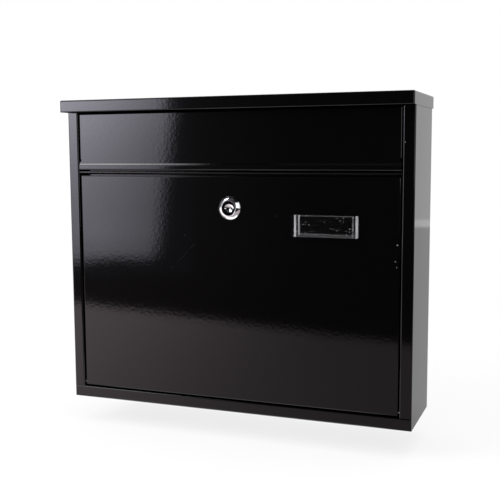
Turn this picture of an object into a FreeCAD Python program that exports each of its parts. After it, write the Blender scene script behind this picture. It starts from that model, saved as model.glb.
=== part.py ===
"""Wall letter box in folded sheet steel: a case with a rain lid, a letter flap and a locking drop door.

Millimetres. X runs to the right, Y into the wall and Z up. The origin is the centre of the four wall
fixing holes, on the rear face of the case, so the front of the box faces -Y.
"""

import FreeCAD
import Part
import math
import os

Vector = FreeCAD.Vector
X_AXIS = Vector(1, 0, 0)
Y_AXIS = Vector(0, 1, 0)
Z_AXIS = Vector(0, 0, 1)
SIDES = {"left": -1, "right": 1}

# Case
BODY_WIDTH = 358.0
BODY_DEPTH = 87.0
TOTAL_HEIGHT = 310.0
STILE_WIDTH = 11.4
STILE_RETURN = 11.0
RAIL_HEIGHT = 11.6
RAIL_HEM = 8.0
WELD_FLANGE = 12.0

# Sheet steel
SHEET = 0.8
BEND = 0.6
HEM_BEND = 0.2
SEAM_GAP = 0.2

# Rain lid
LID_SKIRT = 12.0
LID_OVERHANG = 13.0
LID_SIDE_GAP = 0.2
LID_HEM = 7.0

# Wall fixing holes
FIXING_SPACING_X = 260.0
FIXING_SPACING_Z = 180.0
FIXING_CENTRE_HEIGHT = 160.0
FIXING_RADIUS = 3.25

# Letter flap
FLAP_TOP_GAP = 1.0
FLAP_SIDE_GAP = 0.8
FLAP_RECESS = 1.2
FLAP_FLANGE = 9.0
LIP_HEIGHT = 4.7
LIP_STEP = 1.4
LIP_RAMP = 2.2
LIP_RETURN = 7.0
FLAP_NOTCH_WIDTH = 1.6
FLAP_NOTCH_HEIGHT = 3.2

# Door
DOOR_HEIGHT = 221.4
DOOR_BOTTOM_GAP = 1.0
DOOR_SIDE_GAP = 1.2
DOOR_RECESS = 1.2
DOOR_FLANGE = 10.0
CORNER_RELIEF = 3.6

# Cross rail between the flap and the door
NOSE_GAP_BELOW = 2.3
NOSE_GAP_ABOVE = 1.2
NOSE_RECESS = 0.5
NOSE_END_GAP = 0.5
STOP_GAP = 0.3
RAIL_WEB_BELOW = 19.0
RAIL_WEB_ABOVE = 15.0
RAIL_TAB = 8.0

# Pivot pins
PIN_RADIUS = 1.5
PIN_RUNNING_CLEARANCE = 0.06
PIN_SEAT_CLEARANCE = 0.02
PIN_HEAD_RADIUS = 2.4
PIN_HEAD = 1.0
PIN_HEAD_ROUND = 0.8
PIN_END_PLAY = 0.15
PIN_COLLAR = 0.4
PIN_COLLAR_RADIUS = 2.1
FLAP_PIN_DROP = 6.0
FLAP_PIN_SETBACK = 5.0
DOOR_PIN_RISE = 3.6
DOOR_PIN_SETBACK = 3.6

# Cam lock
LOCK_DROP = 30.7
LOCK_HEAD_RADIUS = 11.3
LOCK_HEAD = 4.2
LOCK_RIM = 1.2
LOCK_SHOULDER_RADIUS = 9.6
LOCK_SHOULDER = 3.1
LOCK_MOUTH_RADIUS = 7.2
LOCK_RIM_ROUND = 0.5
LOCK_DOME_ROUND = 8.0
LOCK_MOUTH_ROUND = 0.35
LOCK_EDGE_BREAK = 0.2
BARREL_RADIUS = 8.0
BARREL_FLATS = 14.0
BARREL_THREAD = 0.45
BARREL_CLEARANCE = 0.1
PLUG_HEAD_RADIUS = 6.4
PLUG_HEAD = 2.2
PLUG_RECESS = 1.6
PLUG_RADIUS = 5.0
PLUG_CLEARANCE = 0.05
PLUG_TAIL = 6.6
KEY_DISH_LENGTH = 9.6
KEY_DISH_WIDTH = 7.6
KEY_DISH_DEPTH = 2.0
KEY_DISH_FLOOR = 0.15
KEY_SLOT_LENGTH = 6.6
KEY_SLOT_WIDTH = 1.1
KEY_SLOT_DEPTH = 8.0
KEY_WARD_LENGTH = 3.2
KEY_WARD_WIDTH = 0.6
WASHER_RADIUS = 10.4
WASHER_THICKNESS = 0.6
WASHER_TEETH = 16
WASHER_TOOTH_DEPTH = 1.0
WASHER_TOOTH_WIDTH = 1.2
NUT_FLATS = 21.0
NUT_THICKNESS = 3.5
NUT_CHAMFER = 0.9

# Cam on the rear end of the lock plug
CAM_GAP = 0.7
CAM_RUNNING_GAP = 0.2
CAM_THICKNESS = 2.0
CAM_WIDTH = 14.0
CAM_LENGTH = 28.0
CAM_TIP_WIDTH = 9.0
CAM_TIP_ROUND = 3.0
CAM_HOLE_CLEARANCE = 0.05
CAM_WASHER_RADIUS = 5.0
CAM_WASHER_THICKNESS = 0.8
SCREW_RADIUS = 1.9
SCREW_LENGTH = 7.0
SCREW_HEAD_RADIUS = 3.8
SCREW_HEAD = 2.4
SCREW_HEAD_ROUND = 0.8
SCREW_CLEARANCE = 0.05
SCREW_SOCKET_FLATS = 3.0
SCREW_SOCKET_DEPTH = 1.3

# Name window
WINDOW_WIDTH = 64.0
WINDOW_HEIGHT = 20.6
WINDOW_INSET = 38.9
WINDOW_DROP = 46.3
WINDOW_THICKNESS = 3.0
WINDOW_CORNER = 1.2
WINDOW_EDGE = 0.4
WINDOW_WALL = 0.4
CARD_RECESS = 1.2
CARD_RECESS_SLOPES = {"left": 1.6, "right": 0.85, "bottom": 1.55, "top": 0.9}
CARD_LEDGES = {"left": 0.7, "right": 1.4, "bottom": 0.0, "top": 0.0}
PANE_RECESS = 1.3
PANE_RECESS_SLOPES = {"left": 1.5, "right": 0.9, "bottom": 1.7, "top": 0.0}
CLIP_INSET = 7.2
CLIP_WIDTH = 12.0
CLIP_THICKNESS = 1.2
CLIP_BARB = 0.5
CLIP_BARB_LENGTH = 1.4
CLIP_CLEARANCE = 0.15

# Planes and edges that several pieces share
HALF_WIDTH = BODY_WIDTH / 2
FRONT_Y = -BODY_DEPTH
BASE_Z = -FIXING_CENTRE_HEIGHT
TOP_Z = BASE_Z + TOTAL_HEIGHT
INNER_HALF = HALF_WIDTH - SHEET
OUTER_BEND = BEND + SHEET
HEM_RADIUS = HEM_BEND + SHEET
HEM_THICKNESS = 2 * HEM_RADIUS
OPENING_HALF = HALF_WIDTH - STILE_WIDTH
RAIL_TOP_Z = BASE_Z + RAIL_HEIGHT
DOOR_Y = FRONT_Y + DOOR_RECESS
DOOR_HALF = OPENING_HALF - DOOR_SIDE_GAP
DOOR_BOTTOM_Z = RAIL_TOP_Z + DOOR_BOTTOM_GAP
DOOR_TOP_Z = DOOR_BOTTOM_Z + DOOR_HEIGHT
NOSE_BOTTOM_Z = DOOR_TOP_Z + NOSE_GAP_BELOW
NOSE_TOP_Z = NOSE_BOTTOM_Z + HEM_THICKNESS
FLAP_Y = FRONT_Y + FLAP_RECESS
FLAP_HALF = OPENING_HALF - FLAP_SIDE_GAP
FLAP_BOTTOM_Z = NOSE_TOP_Z + NOSE_GAP_ABOVE
FLAP_TOP_Z = TOP_Z - LID_SKIRT - FLAP_TOP_GAP
LIP_TOP_Z = FLAP_BOTTOM_Z + LIP_HEIGHT
WEB_Y = STOP_GAP + max(FRONT_Y + STILE_RETURN, FLAP_Y + FLAP_FLANGE, DOOR_Y + DOOR_FLANGE)
CAM_Y = WEB_Y + SHEET + CAM_GAP
FLAP_PIN_Y = FLAP_Y + FLAP_PIN_SETBACK
FLAP_PIN_Z = FLAP_TOP_Z - FLAP_PIN_DROP
DOOR_PIN_Y = DOOR_Y + DOOR_PIN_SETBACK
DOOR_PIN_Z = DOOR_BOTTOM_Z + DOOR_PIN_RISE
LOCK_Z = DOOR_TOP_Z - LOCK_DROP
BARREL_CORE = BARREL_RADIUS - BARREL_THREAD
WINDOW_X = DOOR_HALF - WINDOW_INSET - WINDOW_WIDTH / 2
WINDOW_Z = DOOR_TOP_Z - WINDOW_DROP
CLIP_OFFSET_X = WINDOW_WIDTH / 2 - CLIP_INSET
CUT_MARGIN = 5.0


def block(x_low, x_high, y_low, y_high, z_low, z_high):
    """Box between two corners."""
    return Part.makeBox(x_high - x_low, y_high - y_low, z_high - z_low, Vector(x_low, y_low, z_low))


def side_block(side, x_inner, x_outer, y_low, y_high, z_low, z_high):
    """Box on one side of the centre plane, given by its distances from that plane."""
    x_low, x_high = sorted((side * x_inner, side * x_outer))
    return block(x_low, x_high, y_low, y_high, z_low, z_high)


def across_x(face, x_low, x_high):
    """A section drawn at x = 0, extruded between two places along X."""
    return face.translated(X_AXIS * x_low).extrude(X_AXIS * (x_high - x_low))


def side_points(*pairs):
    """Points of a section seen from the side, as (y, z)."""
    return [Vector(0, y, z) for y, z in pairs]


def plan_points(*pairs):
    """Points of a section seen from above, as (x, y)."""
    return [Vector(x, y, 0) for x, y in pairs]


def rounded_edges(points, radii):
    """Lines through the points, with a tangent arc of the given radius at each point between the ends."""
    edges = []
    start = points[0]
    for before, corner, after, radius in zip(points, points[1:], points[2:], radii):
        back = (before - corner).normalize()
        ahead = (after - corner).normalize()
        half_turn = (math.pi - back.getAngle(ahead)) / 2
        reach = radius * math.tan(half_turn)
        first = corner + back * reach
        last = corner + ahead * reach
        middle = corner + (back + ahead).normalize() * (radius / math.cos(half_turn) - radius)
        if not start.isEqual(first, 1e-6):
            edges.append(Part.makeLine(start, first))
        edges.append(Part.Arc(first, middle, last).toShape())
        start = last
    if not start.isEqual(points[-1], 1e-6):
        edges.append(Part.makeLine(start, points[-1]))
    return edges


def folded_sheet(points, normal, bends=None):
    """Section of a folded sheet. The points follow one skin, with the metal on its left about the normal."""
    bends = bends or [BEND] * (len(points) - 2)
    ahead = [(after - before).normalize() for before, after in zip(points, points[1:])]
    inward = [normal.cross(direction) for direction in ahead]
    far_points = [points[0] + inward[0] * SHEET]
    near_radii = []
    far_radii = []
    for index, bend in enumerate(bends):
        side, next_side = inward[index], inward[index + 1]
        far_points.append(points[index + 1] + (side + next_side) * (SHEET / (1 + side.dot(next_side))))
        towards_metal = ahead[index + 1].dot(side) > 0
        near_radii.append(bend + SHEET if towards_metal else bend)
        far_radii.append(bend if towards_metal else bend + SHEET)
    far_points.append(points[-1] + inward[-1] * SHEET)
    edges = rounded_edges(points, near_radii) + rounded_edges(far_points, far_radii)
    edges.append(Part.makeLine(points[0], far_points[0]))
    edges.append(Part.makeLine(points[-1], far_points[-1]))
    return Part.Face(Part.Wire(Part.__sortEdges__(edges)))


def edges_along(shape, axis, place=None):
    """Straight edges of a shape that run along an axis, at the places that a test picks."""
    found = []
    for edge in shape.Edges:
        direction = edge.Vertexes[-1].Point - edge.Vertexes[0].Point
        if direction.cross(axis).Length < 1e-6 and (place is None or place(edge.CenterOfMass)):
            found.append(edge)
    return found


def turned(profile, radii, centre):
    """Solid turned about the Y axis through a centre, from a closed profile of (radius, y)."""
    points = [Vector(centre.x + radius, y, centre.z) for radius, y in profile]
    face = Part.Face(Part.Wire(Part.__sortEdges__(rounded_edges(points, radii))))
    return face.revolve(Vector(centre.x, 0, centre.z), Y_AXIS, 360)


def rod(radius, x, z, y_low, y_high):
    """Cylinder along Y."""
    return Part.makeCylinder(radius, y_high - y_low, Vector(x, y_low, z), Y_AXIS)


def cross_rod(radius, y, z, x_low, x_high):
    """Cylinder along X."""
    return Part.makeCylinder(radius, x_high - x_low, Vector(x_low, y, z), X_AXIS)


def hexagon(flats, x, z, y_low, y_high):
    """Hexagonal prism along Y, with flats to the left and right."""
    reach = flats / math.sqrt(3)
    angles = [math.radians(60 * corner) for corner in range(7)]
    points = [Vector(x + reach * math.sin(turn), y_low, z + reach * math.cos(turn)) for turn in angles]
    return Part.Face(Part.makePolygon(points)).extrude(Y_AXIS * (y_high - y_low))


def flatted_rod(radius, flats, z, y_low, y_high):
    """Cylinder along Y at x = 0, with flats on the left and the right."""
    return rod(radius, 0, z, y_low, y_high).common(
        block(-flats / 2, flats / 2, y_low, y_high, z - radius, z + radius)
    )


def case_plan(z_low, z_high):
    """Block of the case's outside, with the rounded corners that the bends leave."""
    outside = block(-HALF_WIDTH, HALF_WIDTH, FRONT_Y, 0, z_low, z_high)
    return outside.makeFillet(OUTER_BEND, edges_along(outside, Z_AXIS))


def case_shell():
    """One sheet folded into the back, the sides, the front stiles and their inner returns."""
    return_y = FRONT_Y + STILE_RETURN
    section = folded_sheet(
        plan_points(
            (OPENING_HALF, return_y), (OPENING_HALF, FRONT_Y), (HALF_WIDTH, FRONT_Y), (HALF_WIDTH, 0),
            (-HALF_WIDTH, 0), (-HALF_WIDTH, FRONT_Y), (-OPENING_HALF, FRONT_Y), (-OPENING_HALF, return_y),
        ),
        Z_AXIS,
    )
    lid_underside_z = TOP_Z - SHEET
    shell = section.translated(Z_AXIS * BASE_Z).extrude(Z_AXIS * (lid_underside_z - BASE_Z))
    flange_z = lid_underside_z - WELD_FLANGE
    weld_flange = folded_sheet(
        side_points((0, flange_z), (0, lid_underside_z), (-WELD_FLANGE, lid_underside_z)), X_AXIS
    )
    flange_half = INNER_HALF - WELD_FLANGE / 2
    top_of_back = block(-flange_half, flange_half, -SHEET, 0, flange_z, lid_underside_z)
    shell = shell.cut(top_of_back).fuse(across_x(weld_flange, -flange_half, flange_half))
    foot = block(
        -HALF_WIDTH, HALF_WIDTH, FRONT_Y, FRONT_Y + OUTER_BEND, BASE_Z, RAIL_TOP_Z + SEAM_GAP
    )
    shell = shell.cut(foot)
    for side in SIDES.values():
        shell = shell.cut(
            side_block(side, 0, INNER_HALF, FRONT_Y, FRONT_Y + STILE_RETURN, BASE_Z, RAIL_TOP_Z + SEAM_GAP)
        )
        for y, z in ((FLAP_PIN_Y, FLAP_PIN_Z), (DOOR_PIN_Y, DOOR_PIN_Z)):
            low, high = sorted((side * (OPENING_HALF - CUT_MARGIN), side * (OPENING_HALF + CUT_MARGIN)))
            shell = shell.cut(cross_rod(PIN_RADIUS + PIN_SEAT_CLEARANCE, y, z, low, high))
        for up in (-1, 1):
            x, z = side * FIXING_SPACING_X / 2, up * FIXING_SPACING_Z / 2
            shell = shell.cut(rod(FIXING_RADIUS, x, z, -CUT_MARGIN, CUT_MARGIN))
    return shell.removeSplitter()


def base_pan():
    """Floor of the case, with a hemmed rail across its front and weld flanges inside the walls."""
    flange_top_z = BASE_Z + WELD_FLANGE
    back_y = -SHEET
    section = folded_sheet(
        side_points(
            (FRONT_Y + HEM_THICKNESS, RAIL_TOP_Z - RAIL_HEM), (FRONT_Y + HEM_THICKNESS, RAIL_TOP_Z),
            (FRONT_Y, RAIL_TOP_Z), (FRONT_Y, BASE_Z), (back_y, BASE_Z), (back_y, flange_top_z),
        ),
        X_AXIS,
        [HEM_BEND, HEM_BEND, BEND, BEND],
    )
    pan = across_x(section, -HALF_WIDTH, HALF_WIDTH)
    for side in SIDES.values():
        pan = pan.cut(
            side_block(side, INNER_HALF, HALF_WIDTH, FRONT_Y + OUTER_BEND, 0, BASE_Z, RAIL_TOP_Z)
        )
        bend_half, bend_y = INNER_HALF - OUTER_BEND, back_y - OUTER_BEND
        pan = pan.cut(side_block(side, bend_half, HALF_WIDTH, bend_y, back_y, BASE_Z, flange_top_z))
        flange = folded_sheet(
            [
                Vector(side * (INNER_HALF - WELD_FLANGE), 0, BASE_Z),
                Vector(side * INNER_HALF, 0, BASE_Z),
                Vector(side * INNER_HALF, 0, flange_top_z),
            ],
            Y_AXIS * -side,
        )
        flange_front_y = FRONT_Y + STILE_RETURN + SHEET
        bend_z = BASE_Z + OUTER_BEND
        pan = pan.cut(side_block(side, bend_half, INNER_HALF, flange_front_y, bend_y, BASE_Z, bend_z))
        pan = pan.fuse(
            flange.translated(Y_AXIS * flange_front_y).extrude(Y_AXIS * (bend_y - flange_front_y))
        )
    return pan.common(case_plan(BASE_Z, RAIL_TOP_Z + WELD_FLANGE)).removeSplitter()


def roof_lid():
    """Rain lid: a flat top, a hemmed front skirt that stands off the case, and skirts outside its walls."""
    front_y = FRONT_Y - LID_OVERHANG
    bottom_z = TOP_Z - LID_SKIRT
    skirt_inner = HALF_WIDTH + LID_SIDE_GAP
    half = skirt_inner + SHEET
    section = folded_sheet(
        side_points(
            (0, TOP_Z), (front_y, TOP_Z), (front_y, bottom_z),
            (front_y + HEM_THICKNESS, bottom_z), (front_y + HEM_THICKNESS, bottom_z + LID_HEM),
        ),
        X_AXIS,
        [BEND, HEM_BEND, HEM_BEND],
    )
    lid = across_x(section, -half, half)
    for side in SIDES.values():
        lid = lid.fuse(side_block(side, skirt_inner, half, front_y + HEM_RADIUS, 0, bottom_z, TOP_Z))
    outside = block(-half, half, front_y, 0, bottom_z, TOP_Z)
    top_sides = edges_along(outside, Y_AXIS, lambda point: point.z > TOP_Z - SHEET)
    front_top = edges_along(outside, X_AXIS, lambda point: point.z > TOP_Z - SHEET and point.y < FRONT_Y)
    front_corners = edges_along(outside, Z_AXIS, lambda point: point.y < FRONT_Y)
    outside = outside.makeFillet(OUTER_BEND, top_sides + front_top + front_corners)
    return lid.common(outside).removeSplitter()


def cross_rail():
    """Strip across the case behind the flap and the door, with a pleated nose in the gap between them."""
    nose_y = FRONT_Y + NOSE_RECESS
    bottom_z = DOOR_TOP_Z - RAIL_WEB_BELOW
    top_z = NOSE_TOP_Z + RAIL_WEB_ABOVE
    pleat = folded_sheet(
        side_points(
            (WEB_Y, top_z), (WEB_Y, NOSE_TOP_Z), (nose_y, NOSE_TOP_Z),
            (nose_y, NOSE_BOTTOM_Z), (WEB_Y, NOSE_BOTTOM_Z), (WEB_Y, bottom_z),
        ),
        X_AXIS,
        [BEND, HEM_BEND, HEM_BEND, BEND],
    )
    nose_half = OPENING_HALF - NOSE_END_GAP
    rail = across_x(pleat, -nose_half, nose_half)
    for side in SIDES.values():
        end = [
            Vector(side * INNER_HALF, WEB_Y + SHEET - RAIL_TAB, 0),
            Vector(side * INNER_HALF, WEB_Y + SHEET, 0),
            Vector(side * (nose_half - STILE_WIDTH), WEB_Y + SHEET, 0),
        ]
        section = folded_sheet(end, Z_AXIS * side)
        rail = rail.fuse(section.translated(Z_AXIS * bottom_z).extrude(Z_AXIS * (top_z - bottom_z)))
    return rail.removeSplitter()


def letter_flap():
    """Flap with inward side flanges that carry the pivots, and a lower edge stepped out as a finger lip."""
    lip_y = FLAP_Y - LIP_STEP
    section = folded_sheet(
        side_points(
            (FLAP_Y + FLAP_FLANGE, FLAP_TOP_Z), (FLAP_Y, FLAP_TOP_Z), (FLAP_Y, LIP_TOP_Z + LIP_RAMP),
            (lip_y, LIP_TOP_Z), (lip_y, FLAP_BOTTOM_Z), (lip_y + LIP_RETURN, FLAP_BOTTOM_Z),
        ),
        X_AXIS,
    )
    flap = across_x(section, -FLAP_HALF, FLAP_HALF)
    notch_z = LIP_TOP_Z + LIP_RAMP + OUTER_BEND
    flange_bottom_z = notch_z + FLAP_NOTCH_HEIGHT
    flange_top_z = FLAP_TOP_Z - OUTER_BEND
    rear_y = FLAP_Y + FLAP_FLANGE
    for side in SIDES.values():
        relief_half, relief_y = FLAP_HALF - CORNER_RELIEF, FLAP_Y + OUTER_BEND
        flap = flap.cut(side_block(side, relief_half, FLAP_HALF, relief_y, rear_y, flange_top_z, FLAP_TOP_Z))
        flap = flap.fuse(
            side_block(side, FLAP_HALF - SHEET, FLAP_HALF, FLAP_Y, rear_y, flange_bottom_z, flange_top_z)
        )
        notch_half = FLAP_HALF - FLAP_NOTCH_WIDTH
        flap = flap.cut(side_block(side, notch_half, FLAP_HALF, FLAP_Y, rear_y, notch_z, flange_bottom_z))
        low, high = sorted((side * (FLAP_HALF - CUT_MARGIN), side * (FLAP_HALF + CUT_MARGIN)))
        flap = flap.cut(cross_rod(PIN_RADIUS + PIN_RUNNING_CLEARANCE, FLAP_PIN_Y, FLAP_PIN_Z, low, high))
    panel_outside = block(-FLAP_HALF, FLAP_HALF, FLAP_Y, rear_y, notch_z, FLAP_TOP_Z)
    front_corners = edges_along(panel_outside, Z_AXIS, lambda point: point.y < FLAP_Y + SHEET)
    panel_outside = panel_outside.makeFillet(OUTER_BEND, front_corners)
    lip_outside = block(-FLAP_HALF, FLAP_HALF, lip_y, rear_y, FLAP_BOTTOM_Z, notch_z)
    return flap.common(panel_outside).fuse(flap.common(lip_outside)).removeSplitter()


def door_panel():
    """Door pan: a face with four inward flanges, holes for the lock, the window clips and the pivots."""
    rear_y = DOOR_Y + DOOR_FLANGE
    outside = block(-DOOR_HALF, DOOR_HALF, DOOR_Y, rear_y, DOOR_BOTTOM_Z, DOOR_TOP_Z)
    front_edges = [edge for edge in outside.Edges if abs(edge.CenterOfMass.y - DOOR_Y) < 1e-6]
    outside = outside.makeFillet(OUTER_BEND, front_edges)
    inner_half = DOOR_HALF - SHEET
    inside = block(
        -inner_half, inner_half, DOOR_Y + SHEET, rear_y + SHEET, DOOR_BOTTOM_Z + SHEET, DOOR_TOP_Z - SHEET
    )
    front_edges = [edge for edge in inside.Edges if abs(edge.CenterOfMass.y - DOOR_Y - SHEET) < 1e-6]
    door = outside.cut(inside.makeFillet(BEND, front_edges))
    relief_y = DOOR_Y + OUTER_BEND
    for side in SIDES.values():
        for z_low, z_high in ((DOOR_BOTTOM_Z, DOOR_BOTTOM_Z + SHEET), (DOOR_TOP_Z - SHEET, DOOR_TOP_Z)):
            relief_half = DOOR_HALF - CORNER_RELIEF
            door = door.cut(side_block(side, relief_half, inner_half, relief_y, rear_y, z_low, z_high))
        low, high = sorted((side * (DOOR_HALF - CUT_MARGIN), side * (DOOR_HALF + CUT_MARGIN)))
        door = door.cut(cross_rod(PIN_RADIUS + PIN_RUNNING_CLEARANCE, DOOR_PIN_Y, DOOR_PIN_Z, low, high))
    lock_hole = flatted_rod(
        BARREL_RADIUS + BARREL_CLEARANCE, BARREL_FLATS + 2 * BARREL_CLEARANCE, LOCK_Z,
        DOOR_Y - CUT_MARGIN, DOOR_Y + CUT_MARGIN,
    )
    door = door.cut(lock_hole)
    slot_half = CLIP_THICKNESS / 2 + CLIP_CLEARANCE
    slot_rise = CLIP_WIDTH / 2 + CLIP_CLEARANCE
    for side in SIDES.values():
        x = WINDOW_X + side * CLIP_OFFSET_X
        slot = block(
            x - slot_half, x + slot_half, DOOR_Y - CUT_MARGIN, DOOR_Y + CUT_MARGIN,
            WINDOW_Z - slot_rise, WINDOW_Z + slot_rise,
        )
        door = door.cut(slot)
    return door.removeSplitter()


def pivot_pin(side, y, z, moving_half):
    """Rivet seated in the stile's return, with a running shank and a domed head behind the moving flange."""
    flange_inner = moving_half - SHEET - PIN_END_PLAY
    return_outer = OPENING_HALF + SHEET
    spans = (
        (PIN_HEAD_RADIUS, flange_inner - PIN_HEAD, flange_inner),
        (PIN_RADIUS, flange_inner, return_outer),
        (PIN_COLLAR_RADIUS, OPENING_HALF - PIN_COLLAR, OPENING_HALF),
        (PIN_HEAD_RADIUS, return_outer, return_outer + PIN_HEAD),
    )
    pin = None
    for radius, inner, outer in spans:
        low, high = sorted((side * inner, side * outer))
        length = cross_rod(radius, y, z, low, high)
        pin = length if pin is None else pin.fuse(length)
    pin = pin.removeSplitter()
    ends = (flange_inner - PIN_HEAD, return_outer + PIN_HEAD)
    domes = [edge for edge in pin.Edges if any(abs(side * edge.CenterOfMass.x - end) < 1e-6 for end in ends)]
    return pin.makeFillet(PIN_HEAD_ROUND, domes)


def lock_centre():
    """Point on the lock's axis."""
    return Vector(0, DOOR_Y, LOCK_Z)


def lock_housing():
    """Chromed head that domes up from a low rim to a sunk mouth, on a barrel with two flats."""
    face_y = DOOR_Y - LOCK_HEAD
    seat_y = DOOR_Y - LOCK_HEAD + PLUG_RECESS
    step_y = seat_y + PLUG_HEAD
    rear_y = CAM_Y - CAM_RUNNING_GAP
    head_bore = PLUG_HEAD_RADIUS + PLUG_CLEARANCE
    bore = PLUG_RADIUS + PLUG_CLEARANCE
    rim_middle = (LOCK_MOUTH_RADIUS + LOCK_HEAD_RADIUS) / 2
    head = turned(
        [
            (rim_middle, DOOR_Y), (LOCK_HEAD_RADIUS, DOOR_Y), (LOCK_HEAD_RADIUS, DOOR_Y - LOCK_RIM),
            (LOCK_SHOULDER_RADIUS, DOOR_Y - LOCK_SHOULDER), (LOCK_MOUTH_RADIUS, face_y),
            (head_bore, seat_y), (head_bore, step_y), (bore, step_y), (bore, DOOR_Y), (rim_middle, DOOR_Y),
        ],
        [LOCK_EDGE_BREAK, LOCK_RIM_ROUND, LOCK_DOME_ROUND, LOCK_MOUTH_ROUND, LOCK_EDGE_BREAK]
        + [PLUG_CLEARANCE] * 3,
        lock_centre(),
    )
    barrel = flatted_rod(BARREL_CORE, BARREL_FLATS, LOCK_Z, DOOR_Y, rear_y)
    barrel = barrel.cut(rod(bore, 0, LOCK_Z, DOOR_Y - CUT_MARGIN, rear_y + CUT_MARGIN))
    barrel = barrel.cut(rod(head_bore, 0, LOCK_Z, face_y, step_y))
    return head.fuse(barrel).removeSplitter()


def lock_plug():
    """Plug that the key turns: a face with an oval dish round the keyway, and a square tail for the cam."""
    face_y = DOOR_Y - LOCK_HEAD + PLUG_RECESS
    step_y = face_y + PLUG_HEAD
    rear_y = CAM_Y - CAM_RUNNING_GAP
    tail_y = CAM_Y + CAM_THICKNESS
    plug = rod(PLUG_HEAD_RADIUS, 0, LOCK_Z, face_y, step_y - PLUG_CLEARANCE)
    plug = plug.fuse(rod(PLUG_RADIUS, 0, LOCK_Z, face_y, rear_y))
    tail_half = PLUG_TAIL / 2
    tail = block(-tail_half, tail_half, rear_y, tail_y, LOCK_Z - tail_half, LOCK_Z + tail_half)
    plug = plug.fuse(tail.common(rod(PLUG_RADIUS - PLUG_CLEARANCE, 0, LOCK_Z, rear_y, tail_y)))
    plug = plug.cut(key_dish(face_y))
    slot_y, slot_end_y = face_y - CUT_MARGIN, face_y + KEY_SLOT_DEPTH
    slot_half, slot_rise = KEY_SLOT_LENGTH / 2, KEY_SLOT_WIDTH / 2
    slot = block(-slot_half, slot_half, slot_y, slot_end_y, LOCK_Z - slot_rise, LOCK_Z + slot_rise)
    ward_z = LOCK_Z - slot_rise
    slot = slot.fuse(
        block(-slot_half, KEY_WARD_LENGTH - slot_half, slot_y, slot_end_y, ward_z - KEY_WARD_WIDTH, ward_z)
    )
    screw_hole = rod(SCREW_RADIUS + SCREW_CLEARANCE, 0, LOCK_Z, tail_y - SCREW_LENGTH, tail_y + CUT_MARGIN)
    return plug.cut(slot).cut(screw_hole).removeSplitter()


def oval(length, width, y):
    """Upright oval outline on the lock's axis."""
    outline = Part.Ellipse(Vector(0, 0, 0), length / 2, width / 2).toShape()
    outline.rotate(Vector(0, 0, 0), X_AXIS, 90)
    outline.translate(Vector(0, y, LOCK_Z))
    return Part.Wire([outline])


def key_dish(face_y):
    """Oval funnel that leads the key into its slot."""
    mouth = oval(KEY_DISH_LENGTH, KEY_DISH_WIDTH, face_y)
    floor = oval(
        KEY_DISH_LENGTH * KEY_DISH_FLOOR, KEY_DISH_WIDTH * KEY_DISH_FLOOR, face_y + KEY_DISH_DEPTH
    )
    return Part.makeLoft([mouth, floor], True, True)


def lock_washer():
    """Toothed washer between the door and the nut."""
    front_y = DOOR_Y + SHEET
    rear_y = front_y + WASHER_THICKNESS
    washer = rod(WASHER_RADIUS, 0, LOCK_Z, front_y, rear_y)
    washer = washer.cut(rod(BARREL_RADIUS + BARREL_CLEARANCE, 0, LOCK_Z, front_y, rear_y))
    gap = block(
        -WASHER_TOOTH_WIDTH / 2, WASHER_TOOTH_WIDTH / 2, front_y, rear_y,
        LOCK_Z + WASHER_RADIUS - WASHER_TOOTH_DEPTH, LOCK_Z + WASHER_RADIUS + WASHER_TOOTH_DEPTH,
    )
    for tooth in range(WASHER_TEETH):
        turned_gap = gap.copy()
        turned_gap.rotate(lock_centre(), Y_AXIS, 360 * tooth / WASHER_TEETH)
        washer = washer.cut(turned_gap)
    return washer.removeSplitter()


def lock_nut():
    """Thin hexagon nut with chamfered corners that clamps the lock to the door."""
    front_y = DOOR_Y + SHEET + WASHER_THICKNESS
    rear_y = front_y + NUT_THICKNESS
    blank = rod(NUT_FLATS / math.sqrt(3), 0, LOCK_Z, front_y, rear_y)
    rims = [edge for edge in blank.Edges if edge.BoundBox.YLength < 1e-6]
    nut = hexagon(NUT_FLATS, 0, LOCK_Z, front_y, rear_y).common(blank.makeChamfer(NUT_CHAMFER, rims))
    return nut.cut(rod(BARREL_CORE + PLUG_CLEARANCE, 0, LOCK_Z, front_y, rear_y))


def lock_cam():
    """Cam that lies across the door when unlocked and turns up behind the cross rail to lock."""
    rear_y = CAM_Y + CAM_THICKNESS
    round_end = rod(CAM_WIDTH / 2, 0, LOCK_Z, CAM_Y, rear_y)
    outline = [
        Vector(0, CAM_Y, LOCK_Z + CAM_WIDTH / 2), Vector(-CAM_LENGTH, CAM_Y, LOCK_Z + CAM_TIP_WIDTH / 2),
        Vector(-CAM_LENGTH, CAM_Y, LOCK_Z - CAM_TIP_WIDTH / 2), Vector(0, CAM_Y, LOCK_Z - CAM_WIDTH / 2),
        Vector(0, CAM_Y, LOCK_Z + CAM_WIDTH / 2),
    ]
    arm = Part.Face(Part.makePolygon(outline)).extrude(Y_AXIS * CAM_THICKNESS)
    tip_corners = edges_along(arm, Y_AXIS, lambda point: point.x < -CAM_LENGTH / 2)
    arm = arm.makeFillet(CAM_TIP_ROUND, tip_corners)
    hole_half = PLUG_TAIL / 2 + CAM_HOLE_CLEARANCE
    hole = block(-hole_half, hole_half, CAM_Y, rear_y, LOCK_Z - hole_half, LOCK_Z + hole_half)
    hole = hole.common(rod(PLUG_RADIUS, 0, LOCK_Z, CAM_Y, rear_y))
    return round_end.fuse(arm).cut(hole).removeSplitter()


def cam_washer():
    """Plain washer between the cam and the screw."""
    front_y = CAM_Y + CAM_THICKNESS
    rear_y = front_y + CAM_WASHER_THICKNESS
    washer = rod(CAM_WASHER_RADIUS, 0, LOCK_Z, front_y, rear_y)
    return washer.cut(rod(SCREW_RADIUS + SCREW_CLEARANCE, 0, LOCK_Z, front_y, rear_y))


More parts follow.
